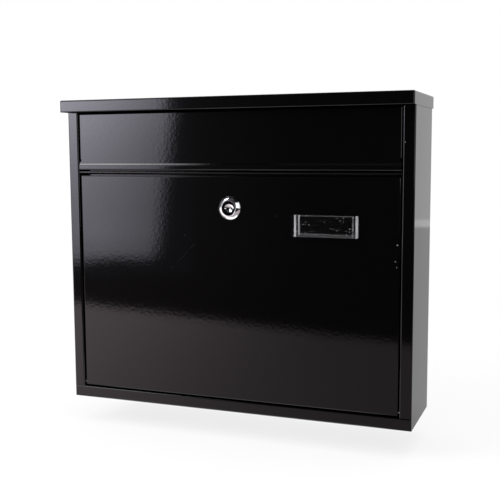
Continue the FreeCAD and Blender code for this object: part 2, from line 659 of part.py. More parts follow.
def cam_screw():
    """Socket-headed screw that holds the cam on the plug."""
    seat_y = CAM_Y + CAM_THICKNESS + CAM_WASHER_THICKNESS
    head_y = seat_y + SCREW_HEAD
    tip_y = CAM_Y + CAM_THICKNESS - SCREW_LENGTH
    head = rod(SCREW_HEAD_RADIUS, 0, LOCK_Z, seat_y, head_y)
    rear_edge = [edge for edge in head.Edges if edge.BoundBox.YMin > head_y - SCREW_HEAD / 2]
    head = head.makeFillet(SCREW_HEAD_ROUND, rear_edge)
    socket = hexagon(SCREW_SOCKET_FLATS, 0, LOCK_Z, head_y - SCREW_SOCKET_DEPTH, head_y + CUT_MARGIN)
    return head.cut(socket).fuse(rod(SCREW_RADIUS, 0, LOCK_Z, tip_y, seat_y)).removeSplitter()


def window_rectangle(margins, y):
    """Rectangle inside the window's outline at a depth, with its own margin on each side."""
    x_low = WINDOW_X - WINDOW_WIDTH / 2 + margins["left"]
    x_high = WINDOW_X + WINDOW_WIDTH / 2 - margins["right"]
    z_low = WINDOW_Z - WINDOW_HEIGHT / 2 + margins["bottom"]
    z_high = WINDOW_Z + WINDOW_HEIGHT / 2 - margins["top"]
    corners = [(x_low, z_low), (x_high, z_low), (x_high, z_high), (x_low, z_high), (x_low, z_low)]
    return Part.makePolygon([Vector(x, y, z) for x, z in corners])


def added(margins, steps):
    """Margins made wider, side by side."""
    return {side: margin + steps[side] for side, margin in margins.items()}


def window_recess(margins, slopes, mouth_y, depth):
    """Hollow with sloping walls, from its mouth towards the front of the window."""
    mouth = window_rectangle(margins, mouth_y)
    end = window_rectangle(added(margins, slopes), mouth_y - depth)
    return Part.makeLoft([mouth, end], True, True)


def window_clip(side):
    """Clip behind one end of the window, through the door, with a barb behind the sheet."""
    x = WINDOW_X + side * CLIP_OFFSET_X
    half = CLIP_THICKNESS / 2
    root_y = DOOR_Y - CARD_RECESS - PANE_RECESS
    barb_y = DOOR_Y + SHEET + CLIP_CLEARANCE
    tip_y = barb_y + CLIP_BARB_LENGTH
    outline = [
        (x - side * half, root_y), (x + side * half, root_y), (x + side * half, barb_y),
        (x + side * (half + CLIP_BARB), barb_y), (x, tip_y), (x - side * half, tip_y),
    ]
    points = plan_points(*outline, outline[0])
    face = Part.Face(Part.makePolygon(points)).translated(Z_AXIS * (WINDOW_Z - CLIP_WIDTH / 2))
    return face.extrude(Z_AXIS * CLIP_WIDTH)


def name_window():
    """Clear name holder: a flat front, a recess with a ledge for the card behind it, and two clips."""
    front_y = DOOR_Y - WINDOW_THICKNESS
    half_width = WINDOW_WIDTH / 2
    half_height = WINDOW_HEIGHT / 2
    window = block(
        WINDOW_X - half_width, WINDOW_X + half_width, front_y, DOOR_Y,
        WINDOW_Z - half_height, WINDOW_Z + half_height,
    )
    window = window.makeFillet(WINDOW_CORNER, edges_along(window, Y_AXIS))
    front_edges = [edge for edge in window.Edges if edge.BoundBox.YMax < front_y + WINDOW_EDGE / 2]
    window = window.makeFillet(WINDOW_EDGE, front_edges)
    walls = dict.fromkeys(CARD_LEDGES, WINDOW_WALL)
    window = window.cut(window_recess(walls, CARD_RECESS_SLOPES, DOOR_Y, CARD_RECESS))
    ledges = added(added(walls, CARD_RECESS_SLOPES), CARD_LEDGES)
    window = window.cut(window_recess(ledges, PANE_RECESS_SLOPES, DOOR_Y - CARD_RECESS, PANE_RECESS))
    for side in SIDES.values():
        window = window.fuse(window_clip(side))
    return window.removeSplitter()


def build_parts():
    """Every piece of the letter box, by name."""
    parts = {
        "case_shell": case_shell(),
        "base_pan": base_pan(),
        "roof_lid": roof_lid(),
        "cross_rail": cross_rail(),
        "letter_flap": letter_flap(),
        "door_panel": door_panel(),
        "lock_housing": lock_housing(),
        "lock_plug": lock_plug(),
        "lock_washer": lock_washer(),
        "lock_nut": lock_nut(),
        "lock_cam": lock_cam(),
        "cam_washer": cam_washer(),
        "cam_screw": cam_screw(),
        "name_window": name_window(),
    }
    for name, side in SIDES.items():
        parts[f"flap_pin_{name}"] = pivot_pin(side, FLAP_PIN_Y, FLAP_PIN_Z, FLAP_HALF)
        parts[f"door_pin_{name}"] = pivot_pin(side, DOOR_PIN_Y, DOOR_PIN_Z, DOOR_HALF)
    return parts


os.makedirs("parts", exist_ok=True)
for node, shape in build_parts().items():
    shape.exportStep(os.path.join("parts", node + ".step"))
    print(node, len(shape.Solids), round(shape.Volume, 2), shape.isValid())
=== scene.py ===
import math

import bpy
from mathutils import Matrix, Vector


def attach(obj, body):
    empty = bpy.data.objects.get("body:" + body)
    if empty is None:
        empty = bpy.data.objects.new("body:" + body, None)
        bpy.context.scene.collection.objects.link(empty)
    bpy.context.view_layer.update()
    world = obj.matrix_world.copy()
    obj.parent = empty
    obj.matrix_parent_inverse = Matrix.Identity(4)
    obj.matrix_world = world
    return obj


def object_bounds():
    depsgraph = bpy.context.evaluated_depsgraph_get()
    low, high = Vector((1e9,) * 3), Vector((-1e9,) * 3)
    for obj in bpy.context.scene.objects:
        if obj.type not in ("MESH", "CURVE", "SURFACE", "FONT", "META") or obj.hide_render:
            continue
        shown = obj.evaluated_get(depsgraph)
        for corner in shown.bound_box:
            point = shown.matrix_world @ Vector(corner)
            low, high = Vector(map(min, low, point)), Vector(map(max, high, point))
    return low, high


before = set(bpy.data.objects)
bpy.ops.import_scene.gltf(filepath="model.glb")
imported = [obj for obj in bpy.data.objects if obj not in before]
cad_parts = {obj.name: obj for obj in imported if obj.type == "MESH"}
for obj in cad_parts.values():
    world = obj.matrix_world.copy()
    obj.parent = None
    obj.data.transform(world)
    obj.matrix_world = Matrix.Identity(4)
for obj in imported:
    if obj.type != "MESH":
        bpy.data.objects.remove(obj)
CAD_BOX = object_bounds()

bl_info = {
    "name": "Letter Box",
    "version": (1, 0, 0),
    "blender": (4, 5, 0),
    "location": "View3D > Sidebar > Letter Box",
    "description": "Dresses the packed letter box: black coat, chrome lock, clear window, studio",
    "category": "Object",
}

SHEET_NODES = ("case_shell", "base_pan", "roof_lid", "letter_flap")
INNER_NODES = ("cross_rail",)
DOOR_NODES = ("door_panel",)
ZINC_NODES = (
    "flap_pin_left", "flap_pin_right", "door_pin_left", "door_pin_right",
    "lock_washer", "lock_nut", "lock_cam", "cam_washer", "cam_screw",
)
CHROME_NODES = ("lock_housing", "lock_plug")
WINDOW_NODES = ("name_window",)

ORIGIN = (0.0, 0.0, 0.0)
LEFT, RIGHT = (-1.0, 0.0, 0.0), (1.0, 0.0, 0.0)
DOWN, UP = (0.0, 0.0, -1.0), (0.0, 0.0, 1.0)
OUTWARDS, INWARDS = (0.0, -1.0, 0.0), (0.0, 1.0, 0.0)
WHITE = (1.0, 1.0, 1.0)

# Light specks on the coat, each a place and a radius.
CASE_SPECKS = ((0.1696, -0.0870, 0.1052, 0.0004),)
DOOR_SPECKS = (
    (0.1637, -0.0858, 0.0124, 0.00055),
    (0.1620, -0.0858, -0.0027, 0.00042),
    (0.1634, -0.0858, -0.0080, 0.00035),
)
# Ends of the hairline scratch, the size of the breaks in it, and the noise that opens them.
DOOR_SCRATCH = ((-0.0645, -0.0858, -0.0192), (-0.0379, -0.0858, 0.0071))
SCRATCH_BREAK, BREAK_NOISE = 0.007, (0.42, 0.55)
# Heights between which a dull line of grime runs along the cross rail's nose.
NOSE_GRIME = (0.0749, 0.0767)
LINE_FADE = 0.0002
COAT_IOR = 1.38
DUST_COVER, SMEAR_SIZE = 0.3, 0.03
# What smears, dust and grime add to the coat's roughness.
SMEAR_BLUR, DUST_BLUR, GRIME_BLUR = 0.02, 0.4, 0.9
# Span of a cloudy noise that is stretched to go from 0 to 1.
CLOUDY = (0.3, 0.7)

LOCK_CHROME = "lock_chrome"
# The lock's axis on the door's face, and its recess by radius and by depth from that face, where
# shade is painted dark on the chrome.
LOCK_AXIS = (0.0, -0.0858, 0.0433)
LOCK_MOUTH = 0.0072
MOUTH_DEPTHS = (-0.0041, -0.00258)
KEYWAY_DEPTH = -0.0005
# Smears on the plated metal: their size, and how far they change its roughness.
ZINC_SMEAR, CHROME_SMEAR = (0.003, 0.15), (0.006, 0.05)
# Grain of the plating: size and depth as shares of a smear, and the tone of its dark spots.
GRAIN_SHARE, GRAIN_DEPTH, GRAIN_TONE = 0.2, 0.002, 0.86
# Share of the pitch that the thread's ridge takes up, its steps in a turn, and its sharp edges.
RIDGE_SHARE, RIDGE_STEPS, RIDGE_CREASE = 0.9, 48, math.radians(30.0)

# Two opposite corners of the window.
WINDOW_LOW = (0.0635, -0.0888, 0.0174)
WINDOW_HIGH = (0.1275, -0.0858, 0.0380)
# Strips along the window's edges: width and cover, which is full in the outer share. The bottom
# strip is dust; the right and top strips are painted highlights.
STRIP_FULL = 0.35
BOTTOM_DUST, RIGHT_HIGHLIGHT, TOP_HIGHLIGHT = (0.0037, 1.0), (0.0029, 0.42), (0.0014, 0.04)
# Lines inside the window's edges: nearest and farthest distance from the edge, and cover. The dark
# lines are painted shade and the pale bars are painted highlights.
LEFT_SHADE_LINE, RIGHT_SHADE_LINE = (-0.0005, 0.0018, 0.95), (0.0027, 0.0035, 0.85)
OUTER_BAR, INNER_BAR = (0.0029, 0.0045, 0.55), (0.0068, 0.0082, 0.33)
RIGHT_BAR = (0.0038, 0.0052, 0.15)
# Cover that is left where the dust, the painted highlights and the pale bars are at their
# thinnest.
THIN_DUST, THIN_HIGHLIGHT, THIN_BAR = 0.85, 0.7, 0.4
PATCH_SIZE = 0.0012
# Share of the window's cells that hold no speck of dust, and the cover of a speck.
BARE_CELLS, SPECK_COVER = 0.7, 0.35
PLASTIC_IOR, SKIN_BLUR = 1.49, 0.04

# The box hangs above the floor, because the dropped door reaches below the box's base.
BASE_Z = CAD_BOX[0][2]
FLOOR_DROP = 0.028
FLOOR_Z = BASE_Z - FLOOR_DROP
FLOOR_HALF, FLOOR_CARD_LIFT = 6.0, 0.0004
FLOOR_WHITE, FLOOR_FADE = 0.8, (0.35, 1.2)
# The dark room that the coat reflects.
ROOM_SIDE, ROOM_FRONT, ROOM_BACK, ROOM_TOP = 2.2, -1.6, 2.4, 2.0
SOFTBOX_START = (-0.56, -0.87, 0.0)
SOFTBOX_ACROSS = (0.814, -0.58, 0.0)
PHOTO_SIDE = 500
SENSOR = 36.0


class Value:
    """A shader socket that Python sums can use."""

    def __init__(self, nodes, socket):
        self.nodes = nodes
        self.socket = socket

    def __add__(self, other):
        return self.nodes.maths("ADD", self, other)

    def __sub__(self, other):
        return self.nodes.maths("SUBTRACT", self, other)

    def __rsub__(self, other):
        return self.nodes.maths("SUBTRACT", other, self)

    def __mul__(self, other):
        return self.nodes.maths("MULTIPLY", self, other)

    def __lt__(self, other):
        return self.nodes.maths("LESS_THAN", self, other)

    def __gt__(self, other):
        return self.nodes.maths("GREATER_THAN", self, other)

    __radd__ = __add__
    __rmul__ = __mul__


class Nodes:
    """Adds nodes to one node tree and hands back their outputs."""

    def __init__(self, tree):
        self.tree = tree
        tree.nodes.clear()

    def node(self, kind, settings=None, sockets=None, output=0):
        """Add a node, set its settings, then fill or link its sockets."""
        made = self.tree.nodes.new(kind)
        for key, value in (settings or {}).items():
            setattr(made, key, value)
        for key, value in (sockets or {}).items():
            if isinstance(value, Value):
                self.tree.links.new(value.socket, made.inputs[key])
            else:
                made.inputs[key].default_value = value
        return Value(self, made.outputs[output]) if made.outputs else None

    def maths(self, operation, *terms):
        """One Math node on numbers and sockets."""
        return self.node("ShaderNodeMath", {"operation": operation}, dict(enumerate(terms)))

    def vectors(self, operation, *terms, output=0):
        """One Vector Math node."""
        settings = {"operation": operation}
        return self.node("ShaderNodeVectorMath", settings, dict(enumerate(terms)), output)

    def smooth(self, value, low, high):
        """Ease from 0 to 1 as a value goes from low to high."""
        return self.node(
            "ShaderNodeMapRange", {"interpolation_type": "SMOOTHSTEP"},
            {"Value": value, "From Min": low, "From Max": high},
        )

    def between(self, value, low, high):
        """Mask of a value between two bounds, with soft ends."""
        above = self.smooth(value, low - LINE_FADE, low)
        below = self.smooth(value, high + LINE_FADE, high)
        return above * below

    def along(self, place, direction, start=ORIGIN):
        """How far a place lies along a direction from a start."""
        offset = self.vectors("SUBTRACT", place, start)
        return self.vectors("DOT_PRODUCT", offset, direction, output="Value")

    def blend(self, factor, first, second):
        """Mix two colours by a factor."""
        settings = {"data_type": "RGBA"}
        return self.node("ShaderNodeMix", settings, {0: factor, 6: first, 7: second}, 2)

    def scaled(self, colour, level):
        """A colour made brighter or darker by a level."""
        settings = {"operation": "SCALE"}
        return self.node("ShaderNodeVectorMath", settings, {0: colour, "Scale": level})

    def place(self):
        """The surface point in the object's own metres."""
        return self.node("ShaderNodeTexCoord", output="Object")

    def noise(self, place, size, detail):
        """Cloudy noise whose features are about size metres wide."""
        sockets = {"Vector": place, "Scale": 1.0 / size, "Detail": detail}
        return self.node("ShaderNodeTexNoise", None, sockets)

    def scatter(self, place, spacing, settings=None):
        """Distance to the nearest of many scattered points, and a random number of that point."""
        sockets = {"Vector": place, "Scale": 1.0 / spacing, "Randomness": 1.0}
        distance = self.node("ShaderNodeTexVoronoi", settings, sockets, "Distance")
        cell = self.node("ShaderNodeTexVoronoi", settings, sockets, "Color")
        return distance, self.node("ShaderNodeSeparateColor", None, {"Color": cell}, "Red")

    def bump(self, height, depth):
        """Normal of a surface raised by height times depth metres."""
        sockets = {"Height": height, "Distance": depth, "Strength": 1.0}
        return self.node("ShaderNodeBump", None, sockets)

    def seen(self):
        """1 for rays of the camera, of mirrors and of glass, and 0 for light on matt surfaces."""
        kinds = ("Is Camera Ray", "Is Glossy Ray", "Is Transmission Ray")
        camera, gloss, through = (self.node("ShaderNodeLightPath", output=kind) for kind in kinds)
        return self.maths("MINIMUM", camera + gloss + through, 1.0)

    def principled(self, sockets):
        """Principled shader with some of its sockets filled."""
        return self.node("ShaderNodeBsdfPrincipled", None, sockets)

    def matt(self, colour):
        """Matt shader of one colour."""
        return self.node("ShaderNodeBsdfDiffuse", None, {"Color": opaque(colour)})

    def emission(self, colour, strength):
        """Shader that glows by itself."""
        return self.node("ShaderNodeEmission", None, {"Color": colour, "Strength": strength})

    def mix(self, factor, first, second):
        """Mix two shaders by a factor."""
        return self.node("ShaderNodeMixShader", None, {0: factor, 1: first, 2: second})

    def finish(self, shader, output="ShaderNodeOutputMaterial"):
        """Wire a shader to the output."""
        self.node(output, None, {"Surface": shader})


def new_material(name):
    """An empty node material and the tool that fills it."""
    material = bpy.data.materials.new(name)
    material.use_nodes = True
    return material, Nodes(material.node_tree)


def opaque(colour):
    """A colour property as a four-part colour."""
    return (*colour, 1.0)


def finish_nodes(names, material):
    """Put one material on every slot of some nodes of the frame."""
    for name in names:
        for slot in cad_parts[name].material_slots:
            slot.material = material


def scene_settings():
    """The settings of this scene's letter box."""
    return bpy.context.scene.letter_box


class PaintSettings(bpy.types.PropertyGroup):
    """Black coat of the folded sheets"""

    colour: bpy.props.FloatVectorProperty(
        name="Paint colour", description="Colour of the gloss powder coat",
        subtype="COLOR", size=3, min=0.0, max=1.0, default=(0.0011, 0.0010, 0.0011),
    )
    roughness: bpy.props.FloatProperty(
        name="Paint roughness", description="Blur of the paint's reflections",
        subtype="FACTOR", min=0.0, max=1.0, default=0.05,
    )
    inner_roughness: bpy.props.FloatProperty(
        name="Inner paint roughness", description="Blur of the thin coat on the rail inside",
        subtype="FACTOR", min=0.0, max=1.0, default=0.12,
    )
    peel_size: bpy.props.FloatProperty(
        name="Orange peel width", description="Width of one dimple of the powder coat's skin",
        unit="LENGTH", min=0.0002, max=0.02, default=0.0028, precision=5,
    )
    peel_tilt: bpy.props.FloatProperty(
        name="Orange peel tilt", description="How far the coat's skin leans on its dimples",
        subtype="ANGLE", min=0.0, max=0.2, default=math.radians(0.5),
    )
    sheet_wave: bpy.props.FloatProperty(
        name="Sheet wave width", description="Width of the slow waves left in the folded sheet",
        unit="LENGTH", min=0.005, max=0.5, default=0.07, precision=4,
    )
    sheet_tilt: bpy.props.FloatProperty(
        name="Sheet wave tilt", description="How far the folded sheet leans on its slow waves",
        subtype="ANGLE", min=0.0, max=0.2, default=math.radians(0.12),
    )
    dust_spacing: bpy.props.FloatProperty(
        name="Dust spacing", description="Rough distance between specks of dust",
        unit="LENGTH", min=0.002, max=0.2, default=0.016, precision=4,
    )
    dust_radius: bpy.props.FloatProperty(
        name="Dust radius", description="Largest radius of a speck of dust",
        unit="LENGTH", min=0.00005, max=0.002, default=0.0004, precision=5,
    )
    dust_colour: bpy.props.FloatVectorProperty(
        name="Dust colour", description="Colour of the specks of dust",
        subtype="COLOR", size=3, min=0.0, max=1.0, default=(0.22, 0.22, 0.22),
    )
    scratch_width: bpy.props.FloatProperty(
        name="Scratch width", description="Width of the hairline scratch on the door",
        unit="LENGTH", min=0.00005, max=0.002, default=0.0005, precision=5,
    )
    scratch_colour: bpy.props.FloatVectorProperty(
        name="Scratch colour", description="Colour of the hairline scratch on the door",
        subtype="COLOR", size=3, min=0.0, max=1.0, default=(0.010, 0.010, 0.012),
    )


class MetalSettings(bpy.types.PropertyGroup):
    """Chrome and zinc of the lock and the pins"""

    chrome_colour: bpy.props.FloatVectorProperty(
        name="Chrome colour", description="Colour of the plated lock",
        subtype="COLOR", size=3, min=0.0, max=1.0, default=(0.80, 0.81, 0.83),
    )
    chrome_roughness: bpy.props.FloatProperty(
        name="Chrome roughness", description="Blur of the chrome's reflections",
        subtype="FACTOR", min=0.0, max=1.0, default=0.06,
    )
    # Painted shade: a dark colour laid in the lock's mouth and keyway, where shade falls.
    recess_shade_colour: bpy.props.FloatVectorProperty(
        name="Recess colour", description="Colour of the grime in the lock's mouth and keyway",
        subtype="COLOR", size=3, min=0.0, max=1.0, default=(0.03, 0.03, 0.035),
    )
    zinc_colour: bpy.props.FloatVectorProperty(
        name="Zinc colour", description="Colour of the zinc-plated pins and lock hardware",
        subtype="COLOR", size=3, min=0.0, max=1.0, default=(0.75, 0.76, 0.78),
    )
    zinc_roughness: bpy.props.FloatProperty(
        name="Zinc roughness", description="Blur of the zinc's reflections",
        subtype="FACTOR", min=0.0, max=1.0, default=0.2,
    )


class WindowSettings(bpy.types.PropertyGroup):
    """Clear plastic of the name window"""

    colour: bpy.props.FloatVectorProperty(
        name="Plastic colour", description="Tint of the clear name window",
        subtype="COLOR", size=3, min=0.0, max=1.0, default=(0.97, 0.97, 0.98),
    )
    roughness: bpy.props.FloatProperty(
        name="Plastic roughness", description="Blur of the window's moulded skin",
        subtype="FACTOR", min=0.0, max=1.0, default=0.025,
    )
    skin_size: bpy.props.FloatProperty(
        name="Skin wave width", description="Width of the waves in the window's moulded skin",
        unit="LENGTH", min=0.0005, max=0.02, default=0.0025, precision=5,
    )
    skin_tilt: bpy.props.FloatProperty(
        name="Skin wave tilt", description="How far the window's moulded skin leans on its waves",
        subtype="ANGLE", min=0.0, max=0.2, default=math.radians(1.5),
    )
    dust_spacing: bpy.props.FloatProperty(
        name="Dust spacing", description="Rough distance between specks of dust in the window",
        unit="LENGTH", min=0.001, max=0.1, default=0.003, precision=4,
    )
    dust_radius: bpy.props.FloatProperty(
        name="Dust radius", description="Largest radius of a speck of dust in the window",
        unit="LENGTH", min=0.00005, max=0.002, default=0.00045, precision=5,
    )
    dust_colour: bpy.props.FloatVectorProperty(
        name="Dust colour", description="Colour of the dust along the window's bottom",
        subtype="COLOR", size=3, min=0.0, max=1.0, default=(0.04, 0.04, 0.043),
    )
    # Painted shade: near-black colour of the lines inside the window's left and right edges.
    line_shade_colour: bpy.props.FloatVectorProperty(
        name="Grime colour", description="Colour of the grime at the window's left and right",
        subtype="COLOR", size=3, min=0.0, max=1.0, default=(0.003, 0.003, 0.004),
    )
    # Painted highlights: the pale strips at the window's right and top and its pale bars share
    # this colour with the specks of dust.
    speck_and_highlight_colour: bpy.props.FloatVectorProperty(
        name="Scuff colour", description="Colour of the window's scuffs, specks and pale bars",
        subtype="COLOR", size=3, min=0.0, max=1.0, default=(0.75, 0.75, 0.77),
    )


class ThreadSettings(bpy.types.PropertyGroup):
    """Thread of the lock's barrel"""

    pitch: bpy.props.FloatProperty(
        name="Pitch", description="Rise of the barrel thread in one turn",
        unit="LENGTH", min=0.0002, max=0.003, default=0.00075, precision=5,
    )
    root_radius: bpy.props.FloatProperty(
        name="Root radius", description="Radius at the foot of the ridge, just inside the barrel",
        unit="LENGTH", min=0.004, max=0.02, default=0.0075, precision=5,
    )
    crest_radius: bpy.props.FloatProperty(
        name="Crest radius", description="Radius over the top of the ridge",
        unit="LENGTH", min=0.004, max=0.02, default=0.008, precision=5,
    )
    flat_distance: bpy.props.FloatProperty(
        name="Flat distance", description="Distance of the barrel's flats from its axis",
        unit="LENGTH", min=0.004, max=0.02, default=0.007, precision=5,
    )
    start: bpy.props.FloatProperty(
        name="Start", description="Where the ridge starts, behind the nut",
        unit="LENGTH", default=-0.08085, precision=5,
    )
    end: bpy.props.FloatProperty(
        name="End", description="Where the ridge ends, before the cam",
        unit="LENGTH", default=-0.07425, precision=5,
    )


class StageSettings(bpy.types.PropertyGroup):
    """Floor, room light and camera"""

    floor_colour: bpy.props.FloatVectorProperty(
        name="Floor colour", description="Colour of the studio floor",
        subtype="COLOR", size=3, min=0.0, max=1.0, default=(0.86, 0.86, 0.86),
    )
    sky: bpy.props.FloatProperty(
        name="Room light", description="Strength of the even light of the room",
        min=0.0, max=5.0, default=0.7,
    )
    camera_place: bpy.props.FloatVectorProperty(
        name="Camera place", description="Where the camera stands",
        subtype="TRANSLATION", size=3, default=(0.31845, -0.86177, 0.09736), precision=5,
    )
    camera_yaw: bpy.props.FloatProperty(
        name="Camera yaw", description="Turn of the camera to the left",
        subtype="ANGLE", default=0.3665,
    )
    camera_pitch: bpy.props.FloatProperty(
        name="Camera pitch", description="Tilt of the camera downwards",
        subtype="ANGLE", default=0.1130,
    )
    camera_roll: bpy.props.FloatProperty(
        name="Camera roll", description="Roll of the camera about its own axis",
        subtype="ANGLE", default=-0.0054,
    )
    focal_pixels: bpy.props.FloatProperty(
        name="Focal length in pixels", description="Focal length on a picture 500 pixels wide",
        min=100.0, max=5000.0, default=865.88,
    )


class LetterBoxSettings(bpy.types.PropertyGroup):
    """All settings of the letter box"""

    paint: bpy.props.PointerProperty(type=PaintSettings)
    metal: bpy.props.PointerProperty(type=MetalSettings)
    window: bpy.props.PointerProperty(type=WindowSettings)
    thread: bpy.props.PointerProperty(type=ThreadSettings)
    stage: bpy.props.PointerProperty(type=StageSettings)


def lifted(mask, least):
    """A mask that starts at a least value instead of 0."""
    return least + mask * (1.0 - least)


def specks_at(nodes, place, specks):
    """Mask of single specks, each a place and a radius."""
    return sum(
        nodes.vectors("DISTANCE", place, spot, output="Value") < radius
        for *spot, radius in specks
    )


def hairline(nodes, place, start, end, half_width):
    """Mask of a fine straight scratch that comes and goes along its length."""
    run = Vector(end) - Vector(start)
    side = Vector((run.z, 0.0, -run.x)).normalized()
    travel = nodes.along(place, run / run.length_squared, start)
    across = nodes.maths("ABSOLUTE", nodes.along(place, side, start))
    broken = nodes.smooth(nodes.noise(place, SCRATCH_BREAK, 1.0), *BREAK_NOISE)
    return (across < half_width) * (travel > 0.0) * (travel < 1.0) * broken


def powder_coat(name, paint, roughness, specks, scratch=None, grime=None):
    """Black powder coat: orange peel, slow sheet waves, dust, and a scratch or a line of grime."""
    material, nodes = new_material(name)
    place = nodes.place()
    peel = nodes.noise(place, paint.peel_size, 1.5)
    wave = nodes.noise(place, paint.sheet_wave, 1.0)
    peel_depth = math.tan(paint.peel_tilt) * paint.peel_size
    wave_depth = math.tan(paint.sheet_tilt) * paint.sheet_wave
    skin = peel + wave * (wave_depth / peel_depth)
    distance, chance = nodes.scatter(place, paint.dust_spacing)
    dust = distance < chance * (paint.dust_radius / paint.dust_spacing)
    dust = nodes.maths("MAXIMUM", dust * DUST_COVER, specks_at(nodes, place, specks))
    coat = opaque(paint.colour)
    if scratch:
        mark = hairline(nodes, place, *scratch, paint.scratch_width / 2)
        coat = nodes.blend(mark, coat, opaque(paint.scratch_colour))
    smear = nodes.noise(place, SMEAR_SIZE, 3.0)
    blur = roughness + smear * SMEAR_BLUR + dust * DUST_BLUR
    if grime:
        blur = blur + nodes.between(nodes.along(place, UP), *grime) * GRIME_BLUR
    nodes.finish(nodes.principled({
        "Base Color": nodes.blend(dust, coat, opaque(paint.dust_colour)),
        "Roughness": blur,
        "IOR": COAT_IOR,
        "Normal": nodes.bump(skin, peel_depth),
    }))
    return material


def recess_shade_mask(nodes, place):
    """Mask of the lock's mouth, the face of its plug and the deep part of the keyway, where shade
    is painted dark.
    """
    offset = nodes.vectors("SUBTRACT", place, LOCK_AXIS)
    level = nodes.vectors("MULTIPLY", offset, (1.0, 0.0, 1.0))
    depth = nodes.along(place, INWARDS, LOCK_AXIS)
    inside = nodes.vectors("LENGTH", level, output="Value") < LOCK_MOUTH
    face = (depth > MOUTH_DEPTHS[0]) * (depth < MOUTH_DEPTHS[1])
    return inside * nodes.maths("MAXIMUM", face, depth > KEYWAY_DEPTH)


def bright_metal(name, colour, roughness, smears, recess_shade_colour=None):
    """Plated metal with a slightly uneven shine, and painted shade in the lock's recess."""
    material, nodes = new_material(name)
    place = nodes.place()
    smear_size, smear_blur = smears
    smear = nodes.noise(place, smear_size, 3.0)
    grain = nodes.noise(place, smear_size * GRAIN_SHARE, 2.0)
    darker = [channel * GRAIN_TONE for channel in colour]
    plate = nodes.blend(nodes.smooth(grain, *CLOUDY), opaque(darker), opaque(colour))
    # Painted shade: the lock's mouth, plug face and deep keyway are coloured dark where shade
    # falls.
    if recess_shade_colour:
        plate = nodes.blend(recess_shade_mask(nodes, place), plate, opaque(recess_shade_colour))
    nodes.finish(nodes.principled({
        "Base Color": plate,
        "Metallic": 1.0,
        "Roughness": roughness + (smear - 0.5) * smear_blur,
        "Normal": nodes.bump(grain, smear_size * GRAIN_DEPTH),
    }))
    return material


def window_strip(nodes, place, outwards, corner, strip):
    """Cover of a strip along one edge of the window, soft on its inner side."""
    width, cover = strip
    beyond = nodes.along(place, outwards, corner)
    return nodes.smooth(beyond, -width, -width * STRIP_FULL) * cover


def window_line(nodes, place, outwards, corner, line):
    """Cover of a line inside one edge of the window."""
    nearest, farthest, cover = line
    inside = nodes.along(place, outwards, corner) * -1.0
    return nodes.between(inside, nearest, farthest) * cover


def window_specks(nodes, place, window):
    """Mask of scattered specks, the same through the window's whole depth."""
    sockets = {"X": nodes.along(place, RIGHT), "Y": nodes.along(place, UP)}
    level = nodes.node("ShaderNodeCombineXYZ", None, sockets)
    flat_cells = {"voronoi_dimensions": "2D"}
    distance, chance = nodes.scatter(level, window.dust_spacing, flat_cells)
    largest = window.dust_radius / window.dust_spacing
    return distance < (chance - BARE_CELLS) * (largest / (1.0 - BARE_CELLS))


def clear_plastic(name, window):
    """Clear moulded plastic: a wavy skin, dust, painted highlights along its right and top,
    painted shade lines at its left and right, and pale bars at its left that are painted
    highlights.
    """
    material, nodes = new_material(name)
    place = nodes.place()
    skin = nodes.noise(place, window.skin_size, 2.0)
    clear = nodes.principled({
        "Base Color": opaque(window.colour),
        "Roughness": window.roughness + skin * SKIN_BLUR,
        "IOR": PLASTIC_IOR,
        "Transmission Weight": 1.0,
        "Normal": nodes.bump(skin, math.tan(window.skin_tilt) * window.skin_size),
    })
    patchy = nodes.smooth(nodes.noise(place, PATCH_SIZE, 2.0), *CLOUDY)
    settled = window_strip(nodes, place, DOWN, WINDOW_LOW, BOTTOM_DUST)
    settled = settled * lifted(patchy, THIN_DUST)
    dusty = nodes.mix(settled, clear, nodes.matt(window.dust_colour))

    # Painted shade: dark lines inside the window's left and right edges, laid as a near-black matt
    # colour.
    left_shade_line = window_line(nodes, place, LEFT, WINDOW_LOW, LEFT_SHADE_LINE)
    right_shade_line = window_line(nodes, place, RIGHT, WINDOW_HIGH, RIGHT_SHADE_LINE)
    grime = nodes.maths("MAXIMUM", left_shade_line, right_shade_line)
    lined = nodes.mix(grime, dusty, nodes.matt(window.line_shade_colour))

    # Painted highlights: pale matt strips along the window's right and top, and pale bars inside
    # its left and right edges, stand in for light in the plastic's edges.
    right_highlight = window_strip(nodes, place, RIGHT, WINDOW_HIGH, RIGHT_HIGHLIGHT)
    top_highlight = window_strip(nodes, place, UP, WINDOW_HIGH, TOP_HIGHLIGHT)
    highlights = nodes.maths("MAXIMUM", right_highlight, top_highlight)
    highlights = highlights * lifted(patchy, THIN_HIGHLIGHT) * (1.0 - grime)
    right_bar = window_line(nodes, place, RIGHT, WINDOW_HIGH, RIGHT_BAR) * patchy
    specks = window_specks(nodes, place, window) * SPECK_COVER
    outer_bar = window_line(nodes, place, LEFT, WINDOW_LOW, OUTER_BAR)
    inner_bar = window_line(nodes, place, LEFT, WINDOW_LOW, INNER_BAR) * (1.0 - settled)
    left_bars = (outer_bar + inner_bar) * lifted(patchy, THIN_BAR)
    pale = nodes.maths("MAXIMUM", highlights, specks + right_bar)
    pale = nodes.maths("MAXIMUM", pale, left_bars)
    nodes.finish(nodes.mix(pale, lined, nodes.matt(window.speck_and_highlight_colour)))
    return material


